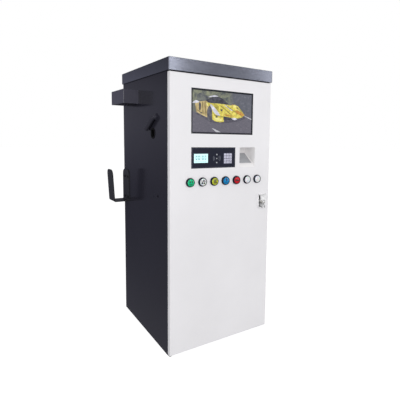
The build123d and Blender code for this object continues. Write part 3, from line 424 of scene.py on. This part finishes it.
# ---------------------------------------------------------------- the picture on the screen
def screen_picture():
    """A generic scene, drawn in thin layers in front of the panel: a road, bushes and a plain yellow car."""
    low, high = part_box("display_panel")
    left, bottom = low.x + PICTURE_BORDER, low.z + PICTURE_BORDER
    width, height = high.x - PICTURE_BORDER - left, high.z - PICTURE_BORDER - bottom

    def at(points):
        """An outline given in fractions of the picture's width and height."""
        return [(left + u * width, bottom + v * height) for u, v in points]

    def layer(name, outlines, level, material):
        """One layer of the picture; level 0 is the one next to the panel."""
        front = low.y - LAYER_FIRST - level * LAYER_STEP
        plate(f"picture_{name}", outlines, front, material, "door", INK_THICK)

    def shown(name, low_tone, high_tone, scale, detail=4.0, distortion=0.0):
        """A lit area of the picture: two tones mixed by noise, shown by the panel's own light."""
        shader = Shader(f"picture_{name}", Emission_Strength=PICTURE_GLOW, Specular_IOR_Level=0.3)
        blend = shader.noise(scale, detail=detail, distortion=distortion)
        tone = shader.ramp(blend, (0.34, low_tone), (0.66, high_tone))
        shader.colour(tone)
        shader.glow_colour(tone)
        shader.rough(shader.span(shader.noise(60.0), 0.20, 0.30))
        return shader

    leaves = shown("backdrop", (0.070, 0.080, 0.085), (0.22, 0.23, 0.155), (34.0, 34.0, 34.0), 9.0, 1.2)
    split = leaves.add("ShaderNodeSeparateXYZ")
    leaves.link(leaves.coords, split.inputs["Vector"])
    side = leaves.span(split.outputs["X"], 0.0, 1.0, start=left + 0.58 * width, end=left + 0.68 * width)
    plaster = leaves.noise(60.0, detail=6.0)
    wall = leaves.ramp(plaster, (0.3, (0.080, 0.084, 0.104)), (0.7, (0.115, 0.120, 0.148)))
    green = leaves.bsdf.inputs["Base Color"].links[0].from_socket
    tone = leaves.mix(side, green, wall)
    leaves.colour(tone)
    leaves.glow_colour(tone)
    layer("backdrop", [at([(0, 0), (1, 0), (1, 1), (0, 1)])], 0, leaves.material)

    road = shown("road", (0.092, 0.087, 0.110), (0.130, 0.124, 0.152), (60.0, 60.0, 420.0), 5.0)
    layer("road", [at([(0, 0), (1, 0), (1, 0.44), (0.84, 0.52), (0.5, 0.5), (0.2, 0.5), (0, 0.66)])],
          1, road.material)
    pale = shown("mark", (0.28, 0.28, 0.31), (0.50, 0.50, 0.53), 50.0).material
    layer("mark", [at([(0.31, 0.10), (0.33, 0.10), (0.46, 0.01), (0.38, 0.01)]),
                   at([(0.87, 0.44), (0.88, 0.45), (1.0, 0.38), (1.0, 0.355)])], 2, pale)
    hedge = shown("hedge", (0.060, 0.065, 0.078), (0.16, 0.17, 0.15), 50.0, 7.0).material
    layer("hedge", [at([(0.0, 0.50), (0.05, 0.46), (0.07, 0.70), (0.0, 0.66)]),
                    at([(0.06, 0.72), (0.20, 0.70), (0.26, 0.86), (0.14, 0.95), (0.07, 0.90)])], 2, hedge)
    dusk = shown("shadow", (0.060, 0.056, 0.075), (0.095, 0.090, 0.115), 60.0).material
    layer("shadow", [at(rounded([(0.05, 0.45), (0.16, 0.36), (0.30, 0.25), (0.50, 0.235), (0.78, 0.31),
                                 (0.88, 0.42), (0.60, 0.44), (0.30, 0.42)]))], 3, dusk)

    flank = shown("flank", (0.26, 0.19, 0.085), (0.56, 0.45, 0.22), (60.0, 60.0, 24.0), 7.0, 1.0).material
    layer("flank", [at([(0.04, 0.68), (0.10, 0.73), (0.24, 0.77), (0.26, 0.60), (0.235, 0.36), (0.15, 0.41),
                        (0.06, 0.48)])], 4, flank)
    body = shown("body", (0.30, 0.25, 0.045), (0.76, 0.66, 0.13), (48.0, 48.0, 40.0), 7.0, 1.4).material
    layer("body", [at([(0.22, 0.72), (0.30, 0.715), (0.52, 0.71), (0.62, 0.69), (0.69, 0.72), (0.75, 0.68),
                       (0.82, 0.57), (0.87, 0.47), (0.83, 0.41), (0.76, 0.375), (0.62, 0.385), (0.51, 0.41),
                       (0.505, 0.27), (0.44, 0.255), (0.36, 0.275), (0.315, 0.32), (0.30, 0.60),
                       (0.25, 0.64)])],
          5, body)
    gloom = shown("gloom", (0.030, 0.030, 0.042), (0.070, 0.070, 0.088), 70.0).material
    layer("glazing", [at(rounded([(0.215, 0.765), (0.27, 0.83), (0.36, 0.875), (0.45, 0.865), (0.52, 0.80),
                                  (0.57, 0.715), (0.42, 0.72), (0.28, 0.715)])),
                      at(rounded([(0.10, 0.70), (0.13, 0.68), (0.125, 0.56), (0.108, 0.52)])),
                      at([(0.50, 0.40), (0.62, 0.38), (0.75, 0.365), (0.72, 0.325), (0.50, 0.32)])], 6, gloom)
    tyre = shown("tyre", (0.055, 0.055, 0.070), (0.13, 0.13, 0.15), 80.0).material
    layer("tyre", [at(rounded([(0.23, 0.50), (0.255, 0.63), (0.285, 0.63), (0.31, 0.52), (0.305, 0.36),
                               (0.275, 0.27), (0.24, 0.33)]))], 6, tyre)
    gleam = shown("gleam", (0.40, 0.40, 0.47), (0.66, 0.66, 0.74), 60.0).material
    layer("gleam", [at(rounded([(0.275, 0.68), (0.31, 0.665), (0.38, 0.56), (0.44, 0.43), (0.41, 0.41),
                                (0.345, 0.48), (0.31, 0.56)])),
                    at([(0.51, 0.69), (0.545, 0.685), (0.66, 0.565), (0.635, 0.56)]),
                    at(rounded([(0.25, 0.855), (0.33, 0.905), (0.41, 0.895), (0.35, 0.875)])),
                    at(rounded([(0.64, 0.365), (0.70, 0.385), (0.735, 0.35), (0.69, 0.325)])),
                    at(rounded([(0.0, 0.69), (0.05, 0.755), (0.105, 0.72), (0.05, 0.69)]))], 7, gleam)
    ember = shown("ember", (0.34, 0.16, 0.03), (0.52, 0.28, 0.06), 70.0).material
    layer("ember", [at(rounded([(0.70, 0.56), (0.76, 0.57), (0.86, 0.48), (0.82, 0.44), (0.75, 0.49)])),
                    at(rounded([(0.52, 0.46), (0.62, 0.44), (0.70, 0.43), (0.62, 0.415), (0.53, 0.43)])),
                    at([(0.64, 0.715), (0.66, 0.72), (0.76, 0.63), (0.75, 0.61)])], 7, ember)

    def stroke(u0, v0, u1, v1, wide):
        """A thin straight line in the picture, wide in fractions of the picture's height."""
        along = Vector(((u1 - u0) * width, (v1 - v0) * height)).normalized()
        du, dv = -along.y * wide / 2 * height / width, along.x * wide / 2
        return at([(u0 - du, v0 - dv), (u1 - du, v1 - dv), (u1 + du, v1 + dv), (u0 + du, v0 + dv)])

    seam = shown("seam", (0.10, 0.080, 0.030), (0.20, 0.16, 0.05), 90.0).material
    layer("seams", [stroke(0.155, 0.73, 0.165, 0.43, 0.018), stroke(0.205, 0.76, 0.212, 0.40, 0.014),
                    stroke(0.07, 0.53, 0.15, 0.46, 0.016), stroke(0.46, 0.66, 0.62, 0.47, 0.016),
                    stroke(0.56, 0.66, 0.72, 0.52, 0.014), stroke(0.34, 0.43, 0.49, 0.40, 0.014),
                    stroke(0.37, 0.62, 0.40, 0.56, 0.014)], 8, seam)
    layer("spots", [at(rounded([(0.452, 0.575), (0.478, 0.575), (0.478, 0.54), (0.452, 0.54)])),
                    at(rounded([(0.125, 0.475), (0.145, 0.475), (0.145, 0.45), (0.125, 0.45)])),
                    at(rounded([(0.37, 0.40), (0.40, 0.40), (0.40, 0.37), (0.37, 0.37)])),
                    at([(0.72, 0.655), (0.735, 0.66), (0.80, 0.57), (0.79, 0.56)])], 9, gloom)
    sunlit = shown("sunlit", (0.56, 0.52, 0.16), (0.76, 0.71, 0.28), 60.0).material
    layer("sunlit", [at(rounded([(0.665, 0.70), (0.70, 0.70), (0.73, 0.65), (0.69, 0.655)])),
                     at(rounded([(0.745, 0.62), (0.775, 0.61), (0.80, 0.56), (0.765, 0.565)])),
                     at(rounded([(0.34, 0.36), (0.42, 0.37), (0.48, 0.30), (0.38, 0.29)])),
                     at([(0.215, 0.70), (0.235, 0.71), (0.24, 0.64), (0.225, 0.64)])], 9, sunlit)


# ---------------------------------------------------------------- control strip
def zero(x, z, width, height, stroke):
    """The six strokes of a seven-segment zero."""
    gap = stroke * 0.3
    end_z = (height - stroke) / 2
    side_x, side_z = (width - stroke) / 2, height / 4
    across, down = width - stroke - gap, end_z - gap
    return [rectangle(x, z + end_z, across, stroke),
            rectangle(x + side_x, z + side_z, stroke, down),
            rectangle(x + side_x, z - side_z, stroke, down),
            rectangle(x, z - end_z, across, stroke),
            rectangle(x - side_x, z - side_z, stroke, down),
            rectangle(x - side_x, z + side_z, stroke, down)]


def lcd_readout():
    """Four zeros with a colon, and a row of dashes under them, on the small display."""
    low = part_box("lcd_window")[0]
    mid_x, mid_z = centre("lcd_window")
    pitch, colon_room, dot = 15 * MM, 3 * MM, 2.4 * MM
    ink = printed("lcd_ink", (0.05, 0.30, 0.31), glow=0.05)
    outlines = []
    for i in range(4):
        x = mid_x + (i - 1.5) * pitch + (colon_room if i > 1 else -colon_room)
        outlines += zero(x, mid_z + 3 * MM, width=9.5 * MM, height=22 * MM, stroke=2.8 * MM)
    outlines += [rectangle(mid_x, mid_z + dz, dot, dot) for dz in (8 * MM, -2 * MM)]
    outlines += [rectangle(mid_x + (i - 2) * 13 * MM, low.z + 6 * MM, 8 * MM, 1.6 * MM) for i in range(5)]
    plate("lcd_digits", outlines, low.y - 0.10 * MM, ink, "door", 0.12 * MM)


def card_target():
    """The contactless card mark: three dots between two pairs of waves, and a hairline round the strip."""
    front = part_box("control_fascia")[0].y - INK_PROUD
    ink = printed("card_ink", (0.40, 0.42, 0.45))
    faint = printed("card_ink_faint", (0.115, 0.125, 0.155))
    dots = [disc(MARK_X, MARK_Z + dz * MM, radius * MM)
            for dz, radius in ((21.0, 3.8), (0.0, 3.2), (-21.0, 3.6))]
    plate("card_dots", dots, front, ink, "door", INK_THICK)
    waves = [arc_band(MARK_X, MARK_Z + 1 * MM, radius * MM, 2.6 * MM, start, start + 76)
             for radius in (14.0, 21.0) for start in (-38, 142)]
    plate("card_waves", waves, front, faint, "door", INK_THICK)
    left, right = -184 * MM, 66.5 * MM
    bottom, top = 969.5 * MM, 1068.9 * MM
    mid_x, mid_z = (left + right) / 2, (bottom + top) / 2
    lines = [rectangle(mid_x, z, right - left, HAIRLINE) for z in (bottom, top)]
    lines += [rectangle(x, mid_z, HAIRLINE, top - bottom - 2 * HAIRLINE) for x in (left, right)]
    plate("strip_hairline", lines, front, faint, "door", INK_THICK)


def lettering(text, size, x, z, front, name, material, body):
    """A generic number as a thin solid, centred on x and z, that faces -Y."""
    curve = bpy.data.curves.new(name + "_curve", "FONT")
    curve.body = text
    curve.size = size
    curve.align_x = "CENTER"
    curve.align_y = "CENTER"
    curve.extrude = 0.06 * MM
    curve.resolution_u = 3
    holder = bpy.data.objects.new(name + "_holder", curve)
    bpy.context.scene.collection.objects.link(holder)
    bpy.context.view_layer.update()
    data = bpy.data.meshes.new_from_object(holder.evaluated_get(bpy.context.evaluated_depsgraph_get()))
    bpy.data.objects.remove(holder)
    bpy.data.curves.remove(curve)
    xs = [v.co.x for v in data.vertices]
    ys = [v.co.y for v in data.vertices]
    middle = Vector(((min(xs) + max(xs)) / 2, (min(ys) + max(ys)) / 2, 0.0))
    upright = Matrix.Translation((x, front, z)) @ Matrix.Rotation(math.pi / 2, 4, "X")
    data.transform(upright @ Matrix.Translation(-middle))
    data.name = name
    data.materials.clear()
    attach(data, name, material, body)


def key_legends():
    """Numbers on the keys; the two corner keys carry a plain cross and a plain ring."""
    ink = printed("key_ink", (0.012, 0.012, 0.030))
    reach, half = 3.0 * MM, 0.7 * MM  # the cross's half width, and half of its stroke along each axis
    overlap = 0.02 * MM
    for name in (*"1234567890", "clear", "enter"):
        key = f"key_{name}"
        x, z = centre(key)
        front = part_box(key)[0].y - 0.02 * MM
        if name == "clear":
            for piece, up in (("legend_clear", 1), ("legend_clear_cross", -1)):
                stroke = [(x - reach, z - up * (reach - half)), (x - reach + half, z - up * reach),
                          (x + reach, z + up * (reach - half)), (x + reach - half, z + up * reach)]
                plate(piece, [stroke], front, ink, key, INK_THICK)
                front -= overlap
        elif name == "enter":
            halves = [arc_band(x, z, 3.0 * MM, 1.2 * MM, start, start + 180) for start in (0, 180)]
            plate("legend_enter", halves, front, ink, key, INK_THICK)
        else:
            lettering(name, 8.4 * MM, x, z, front, f"legend_{name}", ink, key)


# ---------------------------------------------------------------- button pictograms
def pictogram(name, outlines, material):
    """A printed sign: a thin closed plate, cut finely and laid onto the cap's own domed face."""
    cap = NODES[f"button_cap_{name}"].data
    dome = BVHTree.FromPolygons([v.co for v in cap.vertices], [p.vertices for p in cap.polygons])
    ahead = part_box(f"button_cap_{name}")[0].y - 20 * MM
    x, z = centre(f"button_cap_{name}")
    scale = SIGN_SCALE * MM
    mesh = bmesh.new()
    add_prisms(mesh, [[(x + u * scale, z + v * scale) for u, v in outline] for outline in outlines],
               -SIGN_PROUD, SIGN_SUNK)
    bmesh.ops.triangulate(mesh, faces=mesh.faces)
    bmesh.ops.subdivide_edges(mesh, edges=mesh.edges, cuts=3, use_grid_fill=True)
    bmesh.ops.recalc_face_normals(mesh, faces=mesh.faces)
    for vert in mesh.verts:
        hit = dome.ray_cast(Vector((vert.co.x, ahead, vert.co.z)), Vector((0.0, 1.0, 0.0)))[0]
        vert.co.y += hit.y
    attach_bmesh(mesh, f"sign_{name}", material, f"button_{name}")


def drop(x, z, size):
    return rounded([(x, z + size), (x + size * 0.5, z), (x + size * 0.42, z - size * 0.55),
                    (x, z - size * 0.8), (x - size * 0.42, z - size * 0.55), (x - size * 0.5, z)], steps=4)


def button_signs():
    """Generic function signs in millimetres from the cap's middle; the last two caps are plain."""
    ink = printed("sign_ink", (0.022, 0.022, 0.028))
    green_ink = printed("sign_ink_green", (0.003, 0.036, 0.018))
    blue_ink = printed("sign_ink_blue", (0.003, 0.020, 0.085))
    red_ink = printed("sign_ink_red", (0.060, 0.006, 0.010))
    pictogram("green", [drop(-4.6, 3.4, 5.4), drop(4.6, 3.4, 5.4), rectangle(0, -5.0, 17, 2.4),
                        rectangle(0, -9.2, 11, 2.2)], green_ink)
    pictogram("white_1", [disc(-4.8, -4.0, 4.2, 20), disc(4.4, -4.6, 3.6, 20), disc(1.6, 4.8, 4.0, 20),
                          disc(-6.4, 4.6, 2.3, 16), disc(8.2, 2.4, 1.8, 16)], ink)
    pictogram("yellow", [rectangle(0.6, 5.8, 15, 4.4), rectangle(-1.4, 0.2, 13, 3.4),
                         rectangle(0.8, -5.4, 15, 4.4)], ink)
    pictogram("blue", [drop(0, 4.4, 7.0)] + [rectangle(x, -6.2, 4.2, 2.8) for x in (-6.0, 0, 6.0)], blue_ink)
    pictogram("red", [rectangle(0, -0.4, 18, 6.0)], red_ink)


# ---------------------------------------------------------------- lock
def lock_trim():
    """Painted shade: black strips at the left of the lock plate and of its grip, where the raised lock body's
    left sides fall in shade; and darker zinc round the key.
    """
    painted_shade = FINISHES["black_plastic"]
    base_low, base_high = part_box("lock_housing")
    grip_low, grip_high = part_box("lock_handle")
    key_x, key_z = centre("key_cylinder")
    # painted shade: a black strip on the plate's face at its left, where the lock body's left side is in
    # shade
    strip = rectangle(base_low.x + 4.5 * MM, (base_low.z + base_high.z) / 2, 6.0 * MM, 70 * MM)
    plate("lock_painted_shade", [strip], LOCK_FACE - 0.15 * MM, painted_shade, "door", 0.25 * MM)
    # painted shade: a thin black sheet on the grip's left side, which is in shade
    mesh = bmesh.new()
    bmesh.ops.create_cube(mesh, size=1.0)
    bmesh.ops.scale(mesh, vec=(0.3 * MM, 5.0 * MM, 26 * MM), verts=mesh.verts)
    beside_grip = (grip_low.x - 0.1 * MM, LOCK_FACE - 4.0 * MM, grip_high.z - 17 * MM)
    bmesh.ops.translate(mesh, vec=beside_grip, verts=mesh.verts)
    attach_bmesh(mesh, "grip_painted_shade", painted_shade, "lock_handle")
    # a darker zinc round the key and beside it than on the rest of the lock plate
    darker_zinc = metal("zinc_darker", (0.40, 0.40, 0.405), 0.42, streak=400.0, strength=0.12, blotch=160.0,
                 contrast=0.22)
    inset = rectangle(key_x, base_low.z + 21 * MM, 27 * MM, 38 * MM)
    plate("lock_inset", [inset], LOCK_FACE - 0.12 * MM, darker_zinc, "door", 0.2 * MM)
    cheeks = [rectangle(key_x + side * 10.4 * MM, key_z, 8 * MM, 12.5 * MM) for side in (-1, 1)]
    plate("key_surround", cheeks, LOCK_FACE - 13.1 * MM, darker_zinc, "door", 0.2 * MM)


# ---------------------------------------------------------------- studio
def floor():
    """A large pale floor that lights itself and is not mirrored in the object."""
    mesh = bmesh.new()
    corners = ((-1, -1), (1, -1), (1, 1), (-1, 1))
    mesh.faces.new([mesh.verts.new((sx * FLOOR_REACH, sy * FLOOR_REACH, 0.0)) for sx, sy in corners])
    data = bpy.data.meshes.new("floor")
    mesh.to_mesh(data)
    mesh.free()
    ground = bpy.data.objects.new("floor", data)
    bpy.context.scene.collection.objects.link(ground)
    ground.visible_glossy = False
    ground.visible_diffuse = False
    pale = Shader("floor_pale", Specular_IOR_Level=0.0, Emission_Strength=FLOOR_GLOW)
    pale.bsdf.inputs["Emission Color"].default_value = WHITE
    pale.colour(pale.ramp(pale.noise(0.8), (0.3, (0.26, 0.26, 0.26)), (0.7, (0.28, 0.28, 0.28))))
    pale.rough(pale.span(pale.noise(3.0), 0.75, 0.9))
    data.materials.append(pale.material)


def surroundings():
    """White where the camera looks past the object, and soft tones where the object mirrors the studio."""
    world = bpy.data.worlds.new("studio")
    world.use_nodes = True
    nodes = Nodes(world.node_tree)
    direction = nodes.add("ShaderNodeSeparateXYZ")
    nodes.link(nodes.add("ShaderNodeTexCoord").outputs["Generated"], direction.inputs["Vector"])
    backward = nodes.span(direction.outputs["Y"], 0.0, 1.0, start=REAR_STARTS, end=REAR_FULL)
    rising = nodes.span(direction.outputs["Z"], 0.0, 1.0, start=-0.5, end=0.5)
    mirrored = world.node_tree.nodes["Background"]
    nodes.link(nodes.mix(backward, FRONT_TONE, nodes.ramp(rising, *REAR_STOPS)), mirrored.inputs["Color"])
    backdrop = nodes.add("ShaderNodeBackground")
    backdrop.inputs["Color"].default_value = WHITE
    choose = nodes.add("ShaderNodeMixShader")
    nodes.link(nodes.add("ShaderNodeLightPath").outputs["Is Camera Ray"], choose.inputs["Fac"])
    nodes.link(mirrored.outputs["Background"], choose.inputs[1])
    nodes.link(backdrop.outputs["Background"], choose.inputs[2])
    nodes.link(choose.outputs["Shader"], world.node_tree.nodes["World Output"].inputs["Surface"])
    bpy.context.scene.world = world


def soft_box(name, stand, aim, size, watts):
    """A rectangular soft light that stands at one point and faces another."""
    light = bpy.data.lights.new(name, "AREA")
    light.shape = "RECTANGLE"
    light.size, light.size_y = size
    light.energy = watts
    lamp = bpy.data.objects.new(name, light)
    bpy.context.scene.collection.objects.link(lamp)
    lamp.location = stand
    lamp.rotation_euler = (Vector(aim) - Vector(stand)).to_track_quat("-Z", "Y").to_euler()


def lights():
    soft_box("key", (-2.3, -4.6, 1.55), (0.0, 0.0, 0.40), size=(3.0, 3.0), watts=86.0)
    soft_box("strip", (1.03, -4.3, 2.1), (-0.3, -0.36, 1.4), size=(0.40, 2.4), watts=28.0)
    soft_box("right", (4.6, -4.6, 1.9), (0.2, -0.36, 0.9), size=(1.6, 3.0), watts=40.0)
    soft_box("left", (-5.2, -1.3, 1.6), (-0.3, 0.0, 0.9), size=(2.0, 2.6), watts=44.0)
    soft_box("top", (0.0, 0.4, 4.4), (0.0, 0.0, 1.5), size=(3.0, 3.0), watts=30.0)


def camera():
    """The viewing angle: standing to the left of the front corner, a little above the controls."""
    data = bpy.data.cameras.new("camera")
    data.sensor_width = SENSOR
    data.lens = LENS
    data.shift_x = SHIFT_X
    data.shift_y = SHIFT_Y
    data.clip_start, data.clip_end = 0.05, 100.0
    viewer = bpy.data.objects.new("camera", data)
    bpy.context.scene.collection.objects.link(viewer)
    turn = (Matrix.Rotation(math.radians(-YAW), 4, "Z")
            @ Matrix.Rotation(math.radians(90 + PITCH), 4, "X")
            @ Matrix.Rotation(math.radians(ROLL), 4, "Z"))
    viewer.matrix_world = Matrix.Translation(EYE) @ turn
    bpy.context.scene.camera = viewer


dress_cad_nodes()
screen_picture()
lcd_readout()
card_target()
key_legends()
button_signs()
lock_trim()
floor()
surroundings()
lights()
camera()
bpy.context.scene.view_settings.view_transform = "Standard"
